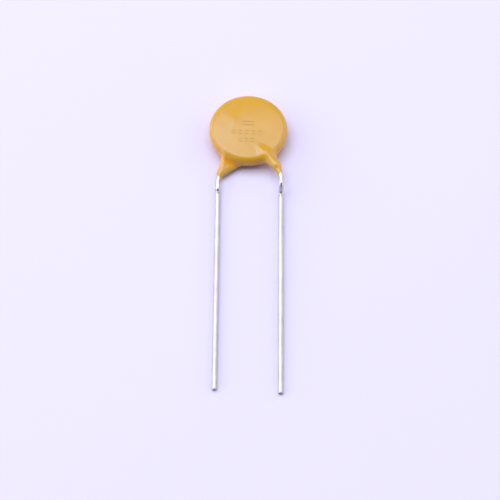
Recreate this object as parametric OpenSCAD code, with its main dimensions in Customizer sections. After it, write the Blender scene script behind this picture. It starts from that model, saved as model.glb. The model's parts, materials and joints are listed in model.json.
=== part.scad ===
// Radial-lead ceramic disc capacitor, lying on a flat surface with its marked face up.
// A fired ceramic disc carries a silver electrode on each face. A tinned wire is soldered
// across each electrode, one going off to the right and one to the left, and the whole
// disc is dipped in an insulating coat that runs a little way down each wire as a leg.
// Millimetres, +Z up. The origin is on the surface, under the middle of the bounding box.

/* [Ceramic] */
// Diameter of the ceramic disc
ceramic_d = 8.0; // [7.6:0.1:8.4]
// Thickness of the ceramic disc
ceramic_t = 0.45; // [0.3:0.05:0.6]
// Diameter of the silver electrode on each face
electrode_d = 7.4; // [7.0:0.1:7.5]
// Thickness of each silver electrode
electrode_t = 0.02; // [0.01:0.01:0.05]

/* [Leads] */
// Diameter of the tinned wire
lead_d = 0.55; // [0.5:0.01:0.6]
// Distance between the two wires
lead_pitch = 7.5; // [7.3:0.1:7.7]
// Length of the right wire's straight run
front_run = 25.4; // [20:0.1:32]
// Length of the left wire's straight run
rear_run = 25.3; // [20:0.1:32]
// Angle at which each wire crosses its face of the disc
cross_angle = 47; // [43:1:50]
// Radius of the bend that turns each wire down the sheet
turn_r = 3.1; // [2.9:0.05:3.3]
// Gap between wire and electrode, filled with solder
solder_gap = 0.03; // [0.02:0.01:0.05]

/* [Kinks] */
// Steepness of the right wire's step down
front_step_angle = 62; // [50:1:70]
// Length of the straight part of the right wire's step
front_step_run = 0.56; // [0.2:0.02:0.8]
// Steepness of the left wire's step down
rear_step_angle = 38; // [25:1:45]
// Bend radius of the steps, to the middle of the wire
step_r = 0.6; // [0.5:0.05:0.8]

/* [Coating] */
// Diameter over the coat
coat_d = 9.4; // [9.1:0.02:9.6]
// Thickness over the coat in the middle of the disc
coat_t = 2.4; // [2.3:0.05:2.6]
// How much lower each face of the coat is where its edge starts to round
coat_dome = 0.16; // [0.08:0.01:0.2]
// Radius of the coat's rounded edge on the marked face
front_edge_r = 0.6; // [0.4:0.05:0.8]
// Radius of the coat's rounded edge on the hidden face
rear_edge_r = 1.0; // [0.7:0.05:1.05]
// Radius of the coat's ridge over each wire
ridge_r = 0.66; // [0.62:0.02:0.70]
// Radius of each leg at its tip
leg_tip_r = 0.36; // [0.34:0.01:0.40]
// Radius of the webs between the legs and the disc
web_r = 0.5; // [0.45:0.05:0.55]
// How far the disc's middle sits left of the middle of the wires
disc_shift = 0.2; // [0:0.05:0.3]

/* [Resting pose] */
// How far the disc leans down to its right, in degrees
lean = 0.4; // [0:0.1:1]

/* [Hidden] */
$fn = 64;
lead_r = lead_d / 2;
half_pitch = lead_pitch / 2;
// Height of the ceramic's mid-plane, with the middle of the hidden face just on the surface
mid_z = coat_t / 2 + disc_shift * sin(lean) + 0.002;
// Level of each wire's middle above the mid-plane where it crosses the disc
wire_z = ceramic_t / 2 + electrode_t + solder_gap + lead_r;
// The right and left wires' straight runs start this far below the disc's middle
front_run_y = -8.6;
rear_run_y = -8.3;
// Half the length of the pinched neck between a step and its straight run
neck = 0.1;
// The last ball of each leg of the coat is this far below the disc's middle
leg_y = -5.93;
// A wire's bend starts here, seen from its own side of the disc, and ends at turn_end_y
turn_end_y = -6.85;
turn_start = [half_pitch - turn_r * (1 - sin(cross_angle)), turn_end_y + turn_r * cos(cross_angle)];
// Distance from the start of a wire's bend to the leg's tip
leg_tip_s = (acos((leg_y - turn_end_y) / turn_r) - cross_angle) * PI / 180 * turn_r;
// Radius of the coat over a wire, at the distance s past the start of its bend
function leg_radius(s) = s < -1.6 ? ridge_r + (s + 1.6) * 0.09
    : ridge_r + (leg_tip_r - ridge_r) * pow((s + 1.6) / (leg_tip_s + 1.6), 1.1);
// Length of the part that crosses the disc
cross_run = 5.6;
cross_dir = [cos(cross_angle), -sin(cross_angle)];
wire_end = turn_start - cross_run * cross_dir;
turn_length = turn_r * (90 - cross_angle) * PI / 180;
// Overall length sets where the disc's middle sits along Y
front_tip_y = front_run_y - front_run;
disc_y = -(coat_d / 2 + front_tip_y) / 2;
// Height that a step takes off, with slopes of a in its middle and b at its end
function step_drop(a, b, run) = step_r * (1 - cos(a)) + run * sin(a) + step_r * (cos(b) - cos(a));
// Height of the middle of the right (side 1) and left (side -1) wires above the surface, before their steps
function level(side) = mid_z + side * wire_z - side * half_pitch * sin(lean);
// Slope of a straight run that starts at height z0 and ends resting on the surface
function slope(z0, run) = asin((z0 - lead_r) / run);
front_slope = slope(level(1) - step_drop(front_step_angle, 1, front_step_run), front_run);
rear_slope = slope(level(-1) - step_drop(rear_step_angle, 0, 0), rear_run);

// Puts the disc's own frame (mid-plane at z = 0, wires toward -Y) in its resting place
module at_rest() {
    translate([0, disc_y, mid_z]) rotate([0, lean, 0]) children();
}

// The rear of the disc is its front turned half a turn about Y
module rear_side() {
    rotate([0, 180, 0]) children();
}

// A point at height z above the mid-plane, at the distance s along a wire's crossing and turn
function wire_point(s) =
    s <= 0 ? [turn_start[0] + s * cross_dir[0], turn_start[1] + s * cross_dir[1], wire_z]
    : let (a = cross_angle + s / turn_r * 180 / PI)
      [half_pitch - turn_r + turn_r * sin(a), turn_end_y + turn_r * cos(a), wire_z];

// The step: a bend down by a, a straight stretch, and a bend back to the run's slope b.
// Each entry is [distance along Y past the step's start, drop, direction angle below level].
function step_points(a, run, b) = [
    for (k = [0:5]) let (t = a * k / 5) [step_r * sin(t), step_r * (1 - cos(t)), t],
    for (k = [(run > 0 ? 0 : 1):6]) let (t = a + (b - a) * k / 6)
        [step_r * sin(a) + run * cos(a) + step_r * (sin(a) - sin(t)),
         step_r * (1 - cos(a)) + run * sin(a) + step_r * (cos(t) - cos(a)), t]
];
function step_length(a, run, b) = step_r * (2 * sin(a) - sin(b)) + run * cos(a);

// Rings of the formed stretch: [centre, direction in the sheet, angle below level]
function formed_rings(a, run, b, down, end_y) = [
    [wire_point(-cross_run), cross_angle, 0],
    for (k = [0:8]) [wire_point(k * turn_length / 8), cross_angle + k * (90 - cross_angle) / 8, 0],
    for (p = step_points(a, run, b))
        [[half_pitch, end_y + neck + step_length(a, run, b) - p[0], wire_z - down * p[1]], 90, down * p[2]],
    [[half_pitch, end_y - neck, wire_z - down * (step_drop(a, b, run) + 2 * neck * tan(b))], 90, down * b]
];
// The forming tool pinches the wire where the step ends and the straight run starts
function ring_radius(k, n) = k >= n - 2 ? lead_r * 0.86 : lead_r;

// Sweeps a round bar through rings with sides corners each
module swept(rings, sides = 20) {
    n = len(rings);
    points = [for (k = [0:n - 1]) let (r = rings[k], h = r[1], t = r[2],
                  u = [sin(h), cos(h), 0],
                  v = [cos(h) * sin(t), -sin(h) * sin(t), cos(t)])
              for (j = [0:sides - 1]) let (q = 360 * (j + 0.5) / sides)
                  r[0] + ring_radius(k, n) * (cos(q) * u + sin(q) * v)];
    polyhedron(points, concat(
        [[for (j = [0:sides - 1]) j]],
        [for (k = [0:n - 2]) for (j = [0:sides - 1]) let (a = k * sides + j, b = k * sides + (j + 1) % sides)
            [b, a, a + sides, b + sides]],
        [[for (j = [sides - 1:-1:0]) (n - 1) * sides + j]]), convexity = 4);
}

// A wire's formed stretch, as seen from its own side of the disc
module formed(a, run, b, down, end_y) {
    swept(formed_rings(a, run, b, down, end_y));
}

// A wire's straight run, sloping down (or up, seen from the rear) to its free end
module straight_run(start_z, b, down, run, start_y) {
    translate([half_pitch, start_y, start_z]) rotate([90 + down * b, 0, 0]) cylinder(h = run, r = lead_r);
}

module ceramic_disc_shape() {
    translate([-disc_shift, 0, -ceramic_t / 2]) cylinder(h = ceramic_t, d = ceramic_d);
}

module electrode_shape() {
    translate([-disc_shift, 0, ceramic_t / 2]) cylinder(h = electrode_t, d = electrode_d);
}

// A low bead of solder along the wire, with sloping sides and round ends
module solder_bead() {
    h = solder_gap + lead_d * 0.62;
    r1 = 0.78;
    r2 = 0.42;
    run = 2.3;
    z0 = ceramic_t / 2 + electrode_t;
    translate([wire_end[0], wire_end[1], z0]) rotate([0, 0, -cross_angle]) {
        hull() {
            cylinder(h = h, r1 = r1, r2 = r2, $fn = 24);
            translate([run, 0, 0]) cylinder(h = h, r1 = r1, r2 = r2, $fn = 24);
        }
    }
}

module ball(p) {
    translate([p[0], p[1], p[2]]) sphere(r = p[3], $fn = 28);
}

// A leg of the coat, seen from its own side: a ridge rises over the wire, swells at the
// disc's edge and tapers to the leg's tip. Each web fills the corner between leg and disc.
module leg(webs) {
    path = [for (k = [0:8]) let (s = -3.6 + k * (3.6 + leg_tip_s) / 8)
            [each wire_point(s), leg_radius(s)]];
    for (k = [0:7]) hull() { ball(path[k]); ball(path[k + 1]); }
    for (w = webs) hull() {
        ball(w[0]);
        ball(w[1]);
        ball([each wire_point(w[2]), leg_radius(w[2])]);
    }
}

// One side of the coat's profile: a low dome, then the rounded edge of radius e
function coat_profile(side, e, steps) = concat(
    [for (k = [0:2]) [(coat_d / 2 - e) * k / 2, side * (coat_t / 2 - coat_dome * k * k / 4)]],
    [for (k = [1:steps]) let (t = 90 * k / steps)
        [coat_d / 2 - e + e * sin(t), side * (coat_t / 2 - coat_dome - e + e * cos(t))]]);

module coat_disc() {
    front = coat_profile(1, front_edge_r, 6);
    rear = coat_profile(-1, rear_edge_r, 8);
    translate([-disc_shift, 0, 0]) rotate_extrude($fn = 96)
        polygon(concat(front, [for (k = [len(rear) - 1:-1:0]) rear[k]]));
}

module front_wire() {
    formed(front_step_angle, front_step_run, front_slope, 1, front_run_y);
    straight_run(wire_z - step_drop(front_step_angle, front_slope, front_step_run), front_slope, 1, front_run, front_run_y);
}

module rear_wire() {
    formed(rear_step_angle, 0, rear_slope, -1, rear_run_y);
    straight_run(wire_z + step_drop(rear_step_angle, rear_slope, 0), rear_slope, -1, rear_run, rear_run_y);
}

// The stretch of wire that crosses the disc, as a true round bar
module crossing() {
    translate([wire_end[0], wire_end[1], wire_z]) rotate([0, 90, -cross_angle]) cylinder(h = cross_run - 0.2, r = lead_r);
}

module ceramic_disc() {
    color([0.72, 0.52, 0.36]) at_rest() ceramic_disc_shape();
}

module front_electrode() {
    color([0.86, 0.86, 0.84]) at_rest() electrode_shape();
}

module rear_electrode() {
    color([0.80, 0.80, 0.78]) at_rest() translate([-2 * disc_shift, 0, 0]) rear_side() electrode_shape();
}

module front_solder() {
    color([0.70, 0.71, 0.73]) at_rest() difference() { solder_bead(); crossing(); }
}

module rear_solder() {
    color([0.66, 0.67, 0.70]) at_rest() rear_side() difference() { solder_bead(); crossing(); }
}

module front_lead() {
    color([0.90, 0.90, 0.93]) at_rest() front_wire();
}

module rear_lead() {
    color([0.88, 0.88, 0.92]) at_rest() rear_side() rear_wire();
}

module epoxy_coating() {
    color([0.85, 0.65, 0.28]) at_rest() difference() {
        union() {
            coat_disc();
            leg([[[2.5, -3.1, 0.4, web_r], [1.6, -3.6, 0.3, web_r], 0.35]]);
            rear_side() leg([[[1.2, -3.75, 0.2, web_r * 1.15], [2.6, -3.1, 0.2, web_r], 0.75],
                             [[1.2, -3.75, 0.2, web_r * 1.15], [2.05, -4.55, 0.3, web_r * 0.9], 1.1],
                             [[2.6, -3.3, -0.3, web_r * 1.2], [1.7, -3.8, -0.1, web_r * 1.2], 0.85]]);
        }
        ceramic_disc_shape($fn = 180);
        electrode_shape();
        translate([-2 * disc_shift, 0, 0]) rear_side() electrode_shape();
        solder_bead();
        rear_side() solder_bead();
        formed(front_step_angle, front_step_run, front_slope, 1, front_run_y);
        rear_side() formed(rear_step_angle, 0, rear_slope, -1, rear_run_y);
    }
}

ceramic_disc();
front_electrode();
rear_electrode();
front_solder();
rear_solder();
front_lead();
rear_lead();
epoxy_coating();
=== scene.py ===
import json
import math
import bpy
import numpy as np
from mathutils import Matrix, Vector


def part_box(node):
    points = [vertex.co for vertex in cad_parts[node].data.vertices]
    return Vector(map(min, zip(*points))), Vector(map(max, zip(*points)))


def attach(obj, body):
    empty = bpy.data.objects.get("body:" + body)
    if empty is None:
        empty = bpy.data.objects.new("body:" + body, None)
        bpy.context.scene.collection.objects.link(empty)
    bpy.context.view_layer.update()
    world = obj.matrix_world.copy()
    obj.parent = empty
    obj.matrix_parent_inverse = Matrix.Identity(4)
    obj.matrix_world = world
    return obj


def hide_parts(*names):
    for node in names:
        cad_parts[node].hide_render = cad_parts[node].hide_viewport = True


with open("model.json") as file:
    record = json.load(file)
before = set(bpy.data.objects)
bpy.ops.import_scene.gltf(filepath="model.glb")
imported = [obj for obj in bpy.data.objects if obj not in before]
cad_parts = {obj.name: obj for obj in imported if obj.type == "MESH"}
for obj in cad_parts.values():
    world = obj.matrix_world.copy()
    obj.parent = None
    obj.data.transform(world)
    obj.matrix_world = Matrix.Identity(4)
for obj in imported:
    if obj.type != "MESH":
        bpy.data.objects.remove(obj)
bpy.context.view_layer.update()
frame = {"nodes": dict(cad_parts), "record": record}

MM = 0.001

# ---------------------------------------------------------------- the disc's own frame, in mm
# The disc's mid-plane is z = 0 there, its marked face looks up, and the wires run toward -Y.
LEAN = math.radians(0.4)
SHIFT = 0.20                       # the disc sits this far left of the middle of the wires
_lo, _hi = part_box("ceramic_disc")
_c = (_lo + _hi) / 2 / MM
DISC_Y = _c.y
MID_Z = _c.z - SHIFT * math.sin(LEAN)
CL, SL = math.cos(LEAN), math.sin(LEAN)


def to_world(p):
    """Disc frame in mm to the row frame in metres."""
    p = np.asarray(p, float)
    x, y, z = p[..., 0], p[..., 1], p[..., 2]
    return np.stack([x * CL + z * SL, y + DISC_Y, -x * SL + z * CL + MID_Z], -1) * MM


# sizes that follow the construction, in mm
LEAD_R = 0.275
HALF_PITCH = 3.75
WIRE_Z = 0.225 + 0.02 + 0.03 + LEAD_R
CROSS = math.radians(47)
TURN_R = 3.1
TURN_END_Y = -6.85
STEP_R = 0.6
TURN_START = np.array([HALF_PITCH - TURN_R * (1 - math.sin(CROSS)), TURN_END_Y + TURN_R * math.cos(CROSS)])
CROSS_DIR = np.array([math.cos(CROSS), -math.sin(CROSS)])
TURN_LEN = TURN_R * (math.pi / 2 - CROSS)
DISC_R, DISC_H, DOME, EDGE_TOP, EDGE_REAR = 4.69, 1.19, 0.18, 0.62, 0.95
LEG_END_S = 1.393


def wire_point(s):
    if s <= 0:
        return np.array([TURN_START[0] + s * CROSS_DIR[0], TURN_START[1] + s * CROSS_DIR[1], WIRE_Z])
    a = CROSS + s / TURN_R
    return np.array([HALF_PITCH - TURN_R + TURN_R * math.sin(a), TURN_END_Y + TURN_R * math.cos(a), WIRE_Z])


# ---------------------------------------------------------------- the dipped coat, as a distance field
def smin(a, b, k):
    h = np.maximum(k - np.abs(a - b), 0.0)
    return np.minimum(a, b) - h * h / (4 * k)


def bars(p, path):
    """Distance to a chain of tapering round bars; path holds (x, y, z, r)."""
    best = np.full(p.shape[:-1], 1e9)
    for a, b in zip(path[:-1], path[1:]):
        pa, ab = p - a[:3], b[:3] - a[:3]
        t = np.clip((pa @ ab) / max(ab @ ab, 1e-9), 0, 1)
        d = np.sqrt(((pa - t[..., None] * ab) ** 2).sum(-1)) - (a[3] + t * (b[3] - a[3]))
        best = np.minimum(best, d)
    return best


def sheet(p, a, b, c, r):
    """Distance to a flat three-cornered sheet with round edges of radius r."""
    n = np.cross(b - a, c - a)
    n /= np.linalg.norm(n)
    best = np.full(p.shape[:-1], 1e9)
    inside = np.ones(p.shape[:-1], bool)
    for u, v in ((a, b), (b, c), (c, a)):
        pu, e = p - u, v - u
        t = np.clip((pu @ e) / (e @ e), 0, 1)
        best = np.minimum(best, np.sqrt(((pu - t[..., None] * e) ** 2).sum(-1)))
        inside &= (pu @ np.cross(n, e)) >= 0
    return np.where(inside, np.abs((p - a) @ n), best) - r


def leg_path(thin):
    out = []
    for s in np.linspace(-4.0, LEG_END_S + 0.5, 34):
        if s < -1.6:
            r = max(0.65 + (s + 1.6) * 0.32, 0.12)
        elif s < LEG_END_S:
            r = 0.65 + (0.34 - 0.65) * ((s + 1.6) / (LEG_END_S + 1.6)) ** 1.1
        else:
            r = 0.34 - 0.12 * ((s - LEG_END_S) / 0.5) ** 1.2
        x, y, z = wire_point(s)
        x -= 0.075 * min(max((s - LEG_END_S + 0.7) / 0.7, 0), 1)      # the coat runs further down the inner side
        r -= thin * math.exp(-((s - 0.2) / 0.9) ** 2)
        out.append([x, y, z, r])
    return [np.array(q) for q in out]


FRONT_PATH, REAR_PATH = leg_path(0.0), leg_path(0.07)
FRONT_WEBS = [[(2.5, -3.1, 0.1, 0.48), (*wire_point(0.4), 0.44)],
              [(1.6, -3.6, 0.2, 0.48), (*wire_point(0.35), 0.44)]]
REAR_WEBS = [[(1.2, -3.80, 0.62, 0.44), (*wire_point(0.75), 0.36)],
             [(2.7, -3.05, 0.10, 0.44), (*wire_point(0.75), 0.36)],
             [(1.2, -3.80, 0.62, 0.44), (2.05, -4.66, 0.68, 0.36), (*wire_point(1.1), 0.36)]]
REAR_GUSSET = [np.array(q) for q in ((2.80, -3.1, -0.42), (1.2, -3.95, 0.50), (3.42, -5.70, 0.75))]


def waves(p):
    """The dip's slight unevenness, in mm: positive sinks the surface, negative raises it."""
    x, y, z = p[..., 0], p[..., 1], p[..., 2]
    w = (0.008 * np.sin(0.9 * x + 0.55 * y + 0.6) + 0.006 * np.sin(-0.7 * x + 1.15 * y + 2.1)
         + 0.004 * np.sin(1.9 * x - 1.3 * y + 0.9 * z + 1.3) + 0.002 * np.sin(2.7 * y + 1.9 * x - 0.4))
    swell = np.exp(-((x + 1.9) / 0.6) ** 2 - ((y - 0.6) / 1.4) ** 2) * (z > 0)
    return w - 0.05 * swell


def coat(p):
    x, y, z = p[..., 0], p[..., 1], p[..., 2]
    r = np.sqrt((x + SHIFT) ** 2 + y ** 2)
    h = DISC_H - DOME * (r / (DISC_R - EDGE_TOP)) ** 2
    half = []
    for e, hz in ((EDGE_TOP, z), (EDGE_REAR, -z)):
        qx, qz = r - (DISC_R - e), hz - (h - e)
        half.append(np.sqrt(np.maximum(qx, 0) ** 2 + np.maximum(qz, 0) ** 2) + np.minimum(np.maximum(qx, qz), 0) - e)
    disc = np.maximum(half[0], half[1])
    rear = np.stack([-x, y, -z], -1)
    front_leg = bars(p, FRONT_PATH)
    for w in FRONT_WEBS:
        front_leg = smin(front_leg, bars(p, [np.array(q) for q in w]), 0.3)
    rear_leg = bars(rear, REAR_PATH)
    for w in REAR_WEBS:
        rear_leg = smin(rear_leg, bars(rear, [np.array(q) for q in w]), 0.3)
    rear_leg = smin(rear_leg, sheet(rear, *REAR_GUSSET, 0.31), 0.3)
    d = smin(disc, front_leg, 0.62)
    d = smin(d, rear_leg, 0.50)
    near_rim = np.clip((DISC_R - r) / 1.2, 0, 1)
    return d + waves(p) * near_rim * np.where(z > 0, 0.8, 0.2) + 0.008


def surface_net(f, lo, hi, h):
    """A closed quad mesh on f = 0, its corners moved onto the surface."""
    n = [int(math.ceil((hi[i] - lo[i]) / h)) + 1 for i in range(3)]
    ax = [lo[i] + h * np.arange(n[i]) for i in range(3)]
    v = np.empty(n, np.float32)
    for i in range(n[0]):                       # one slab at a time keeps memory low
        g = np.stack(np.meshgrid([ax[0][i]], ax[1], ax[2], indexing="ij"), -1)
        v[i] = f(g)[0]
    neg = v < 0
    c = [n[0] - 1, n[1] - 1, n[2] - 1]
    corners = [(i, j, k) for i in (0, 1) for j in (0, 1) for k in (0, 1)]
    count = np.zeros(c, np.int8)
    for i, j, k in corners:
        count += neg[i:i + c[0], j:j + c[1], k:k + c[2]]
    cells = np.argwhere((count > 0) & (count < 8))
    index = np.full(c, -1, np.int64)
    index[tuple(cells.T)] = np.arange(len(cells))
    total = np.zeros((len(cells), 3))
    hits = np.zeros(len(cells))
    for a in corners:
        for d in range(3):
            if a[d]:
                continue
            b = list(a); b[d] = 1
            va = v[cells[:, 0] + a[0], cells[:, 1] + a[1], cells[:, 2] + a[2]].astype(float)
            vb = v[cells[:, 0] + b[0], cells[:, 1] + b[1], cells[:, 2] + b[2]].astype(float)
            cut = (va < 0) != (vb < 0)
            t = np.where(cut, va / np.where(cut, va - vb, 1), 0)
            q = np.array(a, float)[None, :].repeat(len(cells), 0)
            q[:, d] = t
            total += q * cut[:, None]
            hits += cut
    pts = np.array(lo) + h * (cells + total / hits[:, None])
    for _ in range(4):                          # step along the gradient onto the surface
        e = 0.01
        val = f(pts)
        g = np.stack([f(pts + np.eye(3)[k] * e) - f(pts - np.eye(3)[k] * e) for k in range(3)], -1) / (2 * e)
        l2 = np.maximum((g ** 2).sum(-1), 0.05)
        pts = pts - np.clip(val / l2, -h / 2, h / 2)[:, None] * g
    quads = []
    for d in range(3):
        u, w = [k for k in range(3) if k != d]
        size = [n[0], n[1], n[2]]; size[d] -= 1
        a = neg[tuple(slice(0, size[k]) for k in range(3))]
        shift = [0, 0, 0]; shift[d] = 1
        b = neg[tuple(slice(shift[k], shift[k] + size[k]) for k in range(3))]
        at = np.argwhere(a != b)
        at = at[(at[:, u] > 0) & (at[:, w] > 0) & (at[:, u] < n[u] - 1) & (at[:, w] < n[w] - 1)]
        inside = a[tuple(at.T)]
        ring = []
        for du, dw in ((0, 0), (1, 0), (1, 1), (0, 1)):
            q = at.copy(); q[:, u] -= du; q[:, w] -= dw
            ring.append(index[tuple(q.T)])
        ring = np.stack(ring, -1)
        flip = inside if d != 1 else ~inside
        ring[~flip] = ring[~flip][:, ::-1]
        quads.append(ring)
    return pts, np.concatenate(quads)


def add_mesh(name, verts, faces, smooth=True):
    me = bpy.data.meshes.new(name)
    me.from_pydata([tuple(v) for v in np.asarray(verts, float)], [], [tuple(int(i) for i in f) for f in faces])
    me.validate()
    me.update()
    if smooth:
        me.polygons.foreach_set("use_smooth", [True] * len(me.polygons))
    ob = bpy.data.objects.new(name, me)
    bpy.context.scene.collection.objects.link(ob)
    return ob


# ---------------------------------------------------------------- camera
EL, DIST, FOCAL_PX, ROLL = 62.0, 237.41, 2024.3, 0.541
AIM = (0.139, -15.547)
_e = math.radians(EL)
fwd = Vector((0, math.cos(_e), -math.sin(_e)))
up = Vector((0, math.sin(_e), math.cos(_e)))
right = Vector((1, 0, 0))
_r = math.radians(ROLL)
right, up = right * math.cos(_r) + up * math.sin(_r), -right * math.sin(_r) + up * math.cos(_r)
target = Vector((AIM[0], DISC_Y + AIM[1], 0))
cam_data = bpy.data.cameras.new("camera")
cam = bpy.data.objects.new("camera", cam_data)
bpy.context.scene.collection.objects.link(cam)
cam.matrix_world = Matrix(((right.x, up.x, -fwd.x, (target.x - DIST * fwd.x) * MM),
                           (right.y, up.y, -fwd.y, (target.y - DIST * fwd.y) * MM),
                           (right.z, up.z, -fwd.z, (target.z - DIST * fwd.z) * MM),
                           (0, 0, 0, 1)))
cam_data.sensor_width = 36.0
cam_data.lens = 36.0 * FOCAL_PX / 500.0
cam_data.clip_start, cam_data.clip_end = 0.01, 10.0
bpy.context.scene.camera = cam

# ---------------------------------------------------------------- materials
def material(name):
    m = bpy.data.materials.new(name)
    m.use_nodes = True
    nt = m.node_tree
    nt.nodes.clear()
    out = nt.nodes.new("ShaderNodeOutputMaterial")
    b = nt.nodes.new("ShaderNodeBsdfPrincipled")
    nt.links.new(b.outputs["BSDF"], out.inputs["Surface"])
    return m, nt, b


def noise(nt, scale, detail=3.0, rough=0.5, vector=None, distortion=0.0):
    n = nt.nodes.new("ShaderNodeTexNoise")
    n.inputs["Scale"].default_value = scale
    n.inputs["Detail"].default_value = detail
    n.inputs["Roughness"].default_value = rough
    n.inputs["Distortion"].default_value = distortion
    if vector is None:
        tc = nt.nodes.new("ShaderNodeTexCoord")
        vector = tc.outputs["Object"]
    nt.links.new(vector, n.inputs["Vector"])
    return n.outputs["Fac"]


def ramp(nt, fac, stops):
    r = nt.nodes.new("ShaderNodeValToRGB")
    while len(r.color_ramp.elements) > 1:
        r.color_ramp.elements.remove(r.color_ramp.elements[-1])
    r.color_ramp.elements[0].position = stops[0][0]
    r.color_ramp.elements[0].color = (*stops[0][1], 1)
    for pos, col in stops[1:]:
        e = r.color_ramp.elements.new(pos)
        e.color = (*col, 1)
    nt.links.new(fac, r.inputs["Fac"])
    return r.outputs["Color"]


def value_range(nt, fac, lo, hi, a=0.0, b=1.0):
    n = nt.nodes.new("ShaderNodeMapRange")
    n.inputs["From Min"].default_value = a
    n.inputs["From Max"].default_value = b
    n.inputs["To Min"].default_value = lo
    n.inputs["To Max"].default_value = hi
    nt.links.new(fac, n.inputs["Value"])
    return n.outputs["Result"]


def bump(nt, height, strength, distance):
    n = nt.nodes.new("ShaderNodeBump")
    n.inputs["Strength"].default_value = strength
    n.inputs["Distance"].default_value = distance
    nt.links.new(height, n.inputs["Height"])
    return n.outputs["Normal"]


# the coat: ochre resin, satin gloss, faintly mottled
m_coat, nt, b = material("ochre_epoxy_coat")
col = ramp(nt, noise(nt, 330.0, 4.0, 0.55), [(0.30, (0.530, 0.287, 0.0118)), (0.52, (0.547, 0.297, 0.0134)), (0.72, (0.565, 0.308, 0.0150))])
tc = nt.nodes.new("ShaderNodeTexCoord")
low = nt.nodes.new("ShaderNodeSeparateXYZ")
nt.links.new(tc.outputs["Object"], low.inputs["Vector"])
low_rim_painted_light = nt.nodes.new("ShaderNodeMixRGB")           # painted light: low on the rim the coat's colour is multiplied brighter and warmer, standing in for light the rim wall gets too little of
low_rim_painted_light.blend_type = "MULTIPLY"
on_rim = nt.nodes.new("ShaderNodeMath")
on_rim.operation = "MULTIPLY"
nt.links.new(value_range(nt, low.outputs["Z"], 1.0, 0.0, 0.0010, 0.0020), on_rim.inputs[0])
nt.links.new(value_range(nt, low.outputs["Y"], 0.0, 1.0, 0.0095, 0.0105), on_rim.inputs[1])
nt.links.new(on_rim.outputs["Value"], low_rim_painted_light.inputs["Fac"])
nt.links.new(col, low_rim_painted_light.inputs["Color1"])
low_rim_painted_light.inputs["Color2"].default_value = (1.50, 1.12, 0.50, 1)
nt.links.new(low_rim_painted_light.outputs["Color"], b.inputs["Base Color"])
b.inputs["IOR"].default_value = 1.62
b.inputs["Specular Tint"].default_value = (0.32, 0.60, 1.0, 1)
b.inputs["Subsurface Weight"].default_value = 0.25
b.inputs["Subsurface Radius"].default_value = (1.0, 0.55, 0.15)
b.inputs["Subsurface Scale"].default_value = 0.0005
nt.links.new(value_range(nt, noise(nt, 900.0, 3.0, 0.6), 0.19, 0.26, 0.3, 0.7), b.inputs["Roughness"])
nt.links.new(bump(nt, noise(nt, 1500.0, 2.0, 0.5), 0.12, 0.00002), b.inputs["Normal"])

# the tinned wire
m_tin, nt, b = material("tinned_wire")
b.inputs["Metallic"].default_value = 1.0
tc = nt.nodes.new("ShaderNodeTexCoord")
mp = nt.nodes.new("ShaderNodeMapping")
mp.inputs["Scale"].default_value = (1.0, 0.08, 1.0)
nt.links.new(tc.outputs["Object"], mp.inputs["Vector"])
drawn = noise(nt, 5200.0, 3.0, 0.6, mp.outputs["Vector"])
blot = noise(nt, 700.0, 3.0, 0.55)
nt.links.new(ramp(nt, blot, [(0.30, (0.48, 0.462, 0.480)), (0.50, (0.53, 0.510, 0.530)), (0.70, (0.58, 0.560, 0.580))]), b.inputs["Base Color"])
sep_y = nt.nodes.new("ShaderNodeSeparateXYZ")
nt.links.new(tc.outputs["Object"], sep_y.inputs["Vector"])
dull = nt.nodes.new("ShaderNodeMath")             # the straight runs are duller than the bright bends
nt.links.new(value_range(nt, drawn, 0.24, 0.36, 0.3, 0.7), dull.inputs[0])
nt.links.new(value_range(nt, sep_y.outputs["Y"], 0.20, 0.0, 0.0050, 0.0062), dull.inputs[1])
nt.links.new(dull.outputs["Value"], b.inputs["Roughness"])
nt.links.new(bump(nt, drawn, 0.25, 0.00001), b.inputs["Normal"])

# where the wire was cut: bare and dull
m_cut, nt, b = material("cut_wire_end")
b.inputs["Metallic"].default_value = 0.6
# painted shade: the cut face's colour is made darker than its bare metal, standing in for the shade the cut face sits
# in
nt.links.new(ramp(nt, noise(nt, 5000.0, 3.0, 0.6), [(0.3, (0.26, 0.22, 0.27)), (0.7, (0.42, 0.36, 0.43))]), b.inputs["Base Color"])
nt.links.new(value_range(nt, noise(nt, 7000.0), 0.45, 0.65, 0.3, 0.7), b.inputs["Roughness"])

# the mark: faint olive-brown ink
m_ink, nt, b = material("faint_ink")
nt.links.new(ramp(nt, noise(nt, 6000.0, 2.0, 0.5), [(0.3, (0.31, 0.155, 0.014)), (0.7, (0.38, 0.195, 0.020))]), b.inputs["Base Color"])
b.inputs["IOR"].default_value = 1.50
b.inputs["Specular Tint"].default_value = (0.32, 0.60, 1.0, 1)
nt.links.new(value_range(nt, noise(nt, 3000.0), 0.34, 0.46, 0.3, 0.7), b.inputs["Roughness"])

# sealed inner pieces
m_cer, nt, b = material("fired_ceramic")
nt.links.new(ramp(nt, noise(nt, 4000.0, 5.0, 0.65), [(0.3, (0.30, 0.165, 0.085)), (0.7, (0.42, 0.25, 0.14))]), b.inputs["Base Color"])
nt.links.new(value_range(nt, noise(nt, 6000.0), 0.70, 0.85, 0.3, 0.7), b.inputs["Roughness"])
nt.links.new(bump(nt, noise(nt, 9000.0, 3.0), 0.3, 0.00001), b.inputs["Normal"])
m_sil, nt, b = material("fired_silver")
b.inputs["Metallic"].default_value = 1.0
nt.links.new(ramp(nt, noise(nt, 3000.0, 4.0), [(0.3, (0.74, 0.73, 0.70)), (0.7, (0.86, 0.85, 0.82))]), b.inputs["Base Color"])
nt.links.new(value_range(nt, noise(nt, 5000.0), 0.42, 0.58, 0.3, 0.7), b.inputs["Roughness"])
m_sol, nt, b = material("tin_solder")
b.inputs["Metallic"].default_value = 1.0
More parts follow.
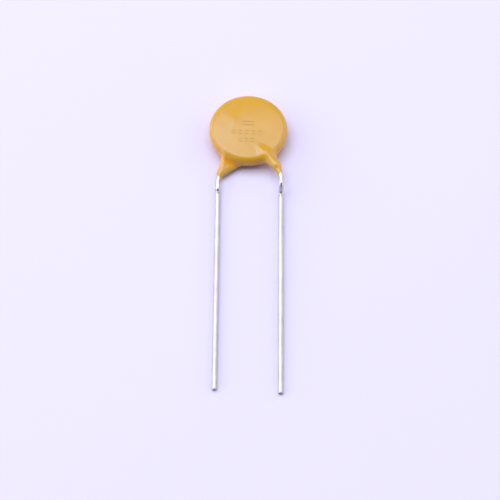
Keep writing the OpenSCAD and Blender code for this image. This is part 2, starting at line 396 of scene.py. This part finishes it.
nt.links.new(ramp(nt, noise(nt, 2500.0, 4.0), [(0.3, (0.52, 0.53, 0.56)), (0.7, (0.68, 0.69, 0.71))]), b.inputs["Base Color"])
nt.links.new(value_range(nt, noise(nt, 2600.0), 0.28, 0.50, 0.3, 0.7), b.inputs["Roughness"])

for node, m in (("ceramic_disc", m_cer), ("front_electrode", m_sil), ("rear_electrode", m_sil), ("front_solder", m_sol),
                ("rear_solder", m_sol), ("front_lead", m_tin), ("rear_lead", m_tin), ("epoxy_coating", m_coat)):
    ob = frame["nodes"][node]
    ob.data.materials.clear()
    ob.data.materials.append(m)

# ---------------------------------------------------------------- the coat
pts, quads = surface_net(coat, (-5.05, -6.75, -1.42), (4.60, 4.80, 1.42), 0.058)
coat_ob = add_mesh("dipped_coat", to_world(pts), quads)
coat_ob.data.materials.append(m_coat)
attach(coat_ob, "root")
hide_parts("epoxy_coating")


# ---------------------------------------------------------------- the leads
def pin(name):
    for m in frame["record"]["mounts"]:
        if m["name"] == name:
            return np.array(m["pos_m"]), np.array(m["axis"]), m["dims"]["length_mm"] * MM
    raise KeyError(name)


def from_world(p):
    q = np.asarray(p, float) / MM
    x, y, z = q[..., 0], q[..., 1] - DISC_Y, q[..., 2] - MID_Z
    return np.stack([x * CL - z * SL, y, x * SL + z * CL], -1)


def lead(name, side, step_a, step_run, run_y, mount, node):
    """side 1 is the wire on the marked face, -1 the one on the hidden face (turned half a turn about Y)."""
    mid, axis, length = pin(mount)
    a0 = from_world(mid - axis * length / 2)
    a1 = from_world(mid + axis * length / 2)
    if side < 0:
        a0, a1 = a0 * (-1, 1, -1), a1 * (-1, 1, -1)
    down = side
    b_ang = math.atan2(-down * (a1[2] - a0[2]), -(a1[1] - a0[1]))   # slope of the run, seen in the wire's own frame
    a = math.radians(step_a)
    line = [wire_point(-5.6)]
    line += [wire_point(-5.6 * (1 - k / 8)) for k in range(1, 8)]
    line += [wire_point(TURN_LEN * k / 16) for k in range(0, 17)]
    length_step = STEP_R * (2 * math.sin(a) - math.sin(b_ang)) + step_run * math.cos(a)
    y0 = run_y + 0.1 + length_step
    n = 12
    prof = [(STEP_R * math.sin(a * k / n), STEP_R * (1 - math.cos(a * k / n))) for k in range(n + 1)]
    px, pz = prof[-1]
    if step_run > 0:
        prof += [(px + step_run * math.cos(a) * k / 4, pz + step_run * math.sin(a) * k / 4) for k in range(1, 5)]
        px, pz = prof[-1]
    for k in range(1, n + 1):
        t = a + (b_ang - a) * k / n
        prof.append((px + STEP_R * (math.sin(a) - math.sin(t)), pz + STEP_R * (math.cos(t) - math.cos(a))))
    line += [np.array([HALF_PITCH, y0 - u, WIRE_Z - down * w]) for u, w in prof]
    step_end = len(line)
    line += [a0 + (a1 - a0) * t for t in np.concatenate([[0.0015, 0.006, 0.014], np.linspace(0.03, 0.9985, 60), [1.0]])]
    line = np.array(line)
    keep = [0]
    for i in range(1, len(line)):
        if np.linalg.norm(line[i] - line[keep[-1]]) > 0.012:
            keep.append(i)
    run_from = next(j for j, i in enumerate(keep) if i >= step_end)
    line = line[keep]
    # parallel transport of a frame along the line
    tang = np.gradient(line, axis=0)
    tang /= np.linalg.norm(tang, axis=1)[:, None]
    u = np.array([0, 0, 1.0])
    sides, verts, faces = 32, [], []
    arc = np.concatenate([[0], np.cumsum(np.linalg.norm(np.diff(line, axis=0), axis=1))])
    for i, (c, t) in enumerate(zip(line, tang)):
        u = u - t * (u @ t)
        u /= np.linalg.norm(u)
        w = np.cross(t, u)
        r = LEAD_R
        flat = 1.0
        d_run = arc[i] - arc[run_from]
        if -0.55 < d_run < 0.0:        # the tool pinches the wire at the end of its step
            q = math.sin(math.pi * (d_run + 0.55) / 0.55)
            r *= 1 - 0.13 * q
            flat = 1 - 0.10 * q
        if i == len(line) - 1:
            r *= 0.94
        for j in range(sides):
            g = 2 * math.pi * j / sides
            verts.append(c + r * (math.cos(g) * u * flat + math.sin(g) * w / flat ** 0.5))
    m = len(line)
    for i in range(m - 1):
        for j in range(sides):
            k = (j + 1) % sides
            faces.append((i * sides + j, i * sides + k, (i + 1) * sides + k, (i + 1) * sides + j))
    # slightly domed caps
    for end, rev in ((0, True), (m - 1, False)):
        base = [end * sides + j for j in range(sides)]
        c, t = line[end], tang[end] * (-1 if end == 0 else 1)
        inner = len(verts)
        for j in range(sides):
            verts.append(c + (np.array(verts[end * sides + j]) - c) * 0.55 + t * 0.003)
        centre = len(verts)
        verts.append(c + t * 0.004)
        for j in range(sides):
            k = (j + 1) % sides
            q = (base[j], base[k], inner + k, inner + j)
            f3 = (inner + j, inner + k, centre)
            faces.append(q[::-1] if rev else q)
            faces.append(f3[::-1] if rev else f3)
    verts = np.array(verts)
    if side < 0:
        verts = verts * (-1, 1, -1)
    ob = add_mesh(name, to_world(verts), faces)
    ob.data.materials.append(m_tin)
    ob.data.materials.append(m_cut)
    caps = len(faces) - 2 * sides
    for p in ob.data.polygons:
        if p.index >= caps:
            p.material_index = 1
    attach(ob, "root")
    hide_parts(node)
    return ob


lead("right_wire", 1, 62, 0.56, -8.6, "right_lead_pin", "front_lead")
lead("left_wire", -1, 38, 0.0, -8.3, "left_lead_pin", "rear_lead")


# ---------------------------------------------------------------- the mark, generic: bars and open squares
def face_height(x, y):
    lo_z, hi_z = np.full(x.shape, 0.7), np.full(x.shape, 1.5)
    for _ in range(30):
        mid = (lo_z + hi_z) / 2
        ins = coat(np.stack([x, y, mid], -1)) < 0
        lo_z, hi_z = np.where(ins, mid, lo_z), np.where(ins, hi_z, mid)
    return (lo_z + hi_z) / 2


def strokes(name, segs, width, turn_deg, pivot):
    """Each segment (x0, y0, x1, y1) becomes a thin closed slab that follows the face."""
    verts, faces = [], []
    ct, st = math.cos(math.radians(turn_deg)), math.sin(math.radians(turn_deg))
    for x0, y0, x1, y1 in segs:
        p, q = np.array([x0, y0]), np.array([x1, y1])
        length = np.linalg.norm(q - p)
        t = (q - p) / length
        nrm = np.array([-t[1], t[0]])
        n = max(2, int(length / 0.12) + 1)
        base = len(verts)
        rows = []
        for i in range(n + 1):
            for s in (-0.5, 0.5):
                rows.append(p + t * (length * i / n) + nrm * width * s)
        rows = np.array(rows) - pivot
        rows = np.stack([rows[:, 0] * ct + rows[:, 1] * st, -rows[:, 0] * st + rows[:, 1] * ct], -1) + pivot
        z = face_height(rows[:, 0], rows[:, 1])
        top = np.column_stack([rows, z + 0.004])
        bot = np.column_stack([rows, z - 0.02])
        verts += list(top) + list(bot)
        m = 2 * (n + 1)
        for i in range(n):
            a, b_, c, d = base + 2 * i, base + 2 * i + 1, base + 2 * i + 3, base + 2 * i + 2
            faces.append((a, d, c, b_))
            faces.append((a + m, b_ + m, c + m, d + m))
            faces.append((a, a + m, d + m, d))
            faces.append((b_, c, c + m, b_ + m))
        faces.append((base, base + 1, base + 1 + m, base + m))
        e = base + 2 * n
        faces.append((e, e + m, e + 1 + m, e + 1))
    ob = add_mesh(name, to_world(np.array(verts)), faces, smooth=False)
    ob.data.materials.append(m_ink)
    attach(ob, "root")
    return ob


W = 0.085
segs = [(-1.00, 0.66, 0.48, 0.66), (-1.00, 0.22, 0.48, 0.22)]                       # two plain bars
for k in range(5):                                                                    # a row of five pairs of dashes
    for y in (-0.62, -1.02):
        segs.append((-2.22 + k * 0.80, y, -1.76 + k * 0.80, y))
for k in range(3):                                                                    # a row of three
    for y in (-1.70, -2.08):
        segs.append((-1.30 + k * 0.70, y, -0.88 + k * 0.70, y))
strokes("faint_mark", segs, W, 1.4, np.array([-0.4, -0.8]))

# ---------------------------------------------------------------- floor, lights, world
fl = add_mesh("floor", [(-1.5, -1.5, 0), (1.5, -1.5, 0), (1.5, 1.5, 0), (-1.5, 1.5, 0)], [(0, 1, 2, 3)], smooth=False)
m_floor, nt, b = material("pale_floor")
b.inputs["Base Color"].default_value = (0.600, 0.582, 0.785, 1)
b.inputs["Roughness"].default_value = 0.6
b.inputs["Specular IOR Level"].default_value = 0.25
fl.data.materials.append(m_floor)


def area(name, loc, aim, size, radiance, color=(1, 1, 1)):
    d = bpy.data.lights.new(name, "AREA")
    d.shape = "RECTANGLE"
    d.size, d.size_y = size[0] * MM, size[1] * MM
    d.energy = radiance * math.pi * d.size * d.size_y
    d.color = color
    o = bpy.data.objects.new(name, d)
    bpy.context.scene.collection.objects.link(o)
    o.location = Vector(loc) * MM
    o.rotation_mode = "QUATERNION"
    o.rotation_quaternion = (Vector(aim) - Vector(loc)).to_track_quat("-Z", "Y")
    return o


H_LIGHT = 600.0


def panel(name, x0, x1, y0, y1, radiance, color):
    """A soft light panel level over the disc; the corners are millimetres from it."""
    o = area(name, ((x0 + x1) / 2, DISC_Y + (y0 + y1) / 2, H_LIGHT), ((x0 + x1) / 2, DISC_Y + (y0 + y1) / 2, 0),
             (x1 - x0, y1 - y0), radiance, color)
    o.rotation_quaternion = (1, 0, 0, 0)
    return o


panel("left_softbox", -470, -64, -80, 440, 4.5, (1.0, 0.985, 1.0))
panel("ceiling", -64, 350, -64, 440, 2.7, (1.0, 0.985, 1.0))

world = bpy.data.worlds.new("studio")
bpy.context.scene.world = world
world.use_nodes = True
nt = world.node_tree
nt.nodes.clear()
out = nt.nodes.new("ShaderNodeOutputWorld")
bg = nt.nodes.new("ShaderNodeBackground")
bg.inputs["Color"].default_value = (0.97, 0.96, 1.0, 1)
tc = nt.nodes.new("ShaderNodeTexCoord")
sep = nt.nodes.new("ShaderNodeSeparateXYZ")
nt.links.new(tc.outputs["Generated"], sep.inputs["Vector"])


def smooth(v, a, b_, lo_, hi_):
    n = nt.nodes.new("ShaderNodeMapRange")
    n.interpolation_type = "SMOOTHSTEP"
    n.inputs["From Min"].default_value = a
    n.inputs["From Max"].default_value = b_
    n.inputs["To Min"].default_value = lo_
    n.inputs["To Max"].default_value = hi_
    nt.links.new(v, n.inputs["Value"])
    return n.outputs["Result"]


def math_node(op, a, b_):
    n = nt.nodes.new("ShaderNodeMath")
    n.operation = op
    for i, v in enumerate((a, b_)):
        if isinstance(v, (int, float)):
            n.inputs[i].default_value = v
        else:
            nt.links.new(v, n.inputs[i])
    return n.outputs[0]


# the studio's front is open and dark, its side walls are bright, the far side is dim
front_open = smooth(sep.outputs["Y"], -0.35, -0.03, 1.0, 0.0)
side_wall = smooth(math_node("ABSOLUTE", sep.outputs["X"], 0.0), 0.45, 0.75, 0.0, 1.0)
left_wall = smooth(sep.outputs["X"], -0.85, -0.50, 0.9, 0.0)
walls = math_node("ADD", math_node("ADD", math_node("MULTIPLY", side_wall, 1.35), left_wall), 0.32)
front_mid = smooth(math_node("ABSOLUTE", sep.outputs["X"], 0.0), 0.55, 0.85, 1.0, 0.0)
opening = math_node("MULTIPLY", front_open, front_mid)
level_ = math_node("MULTIPLY", math_node("SUBTRACT", 1.0, math_node("MULTIPLY", opening, 0.78)), walls)
nt.links.new(level_, bg.inputs["Strength"])
nt.links.new(bg.outputs["Background"], out.inputs["Surface"])

bpy.context.scene.view_settings.view_transform = "Standard"
bpy.context.scene.view_settings.look = "None"
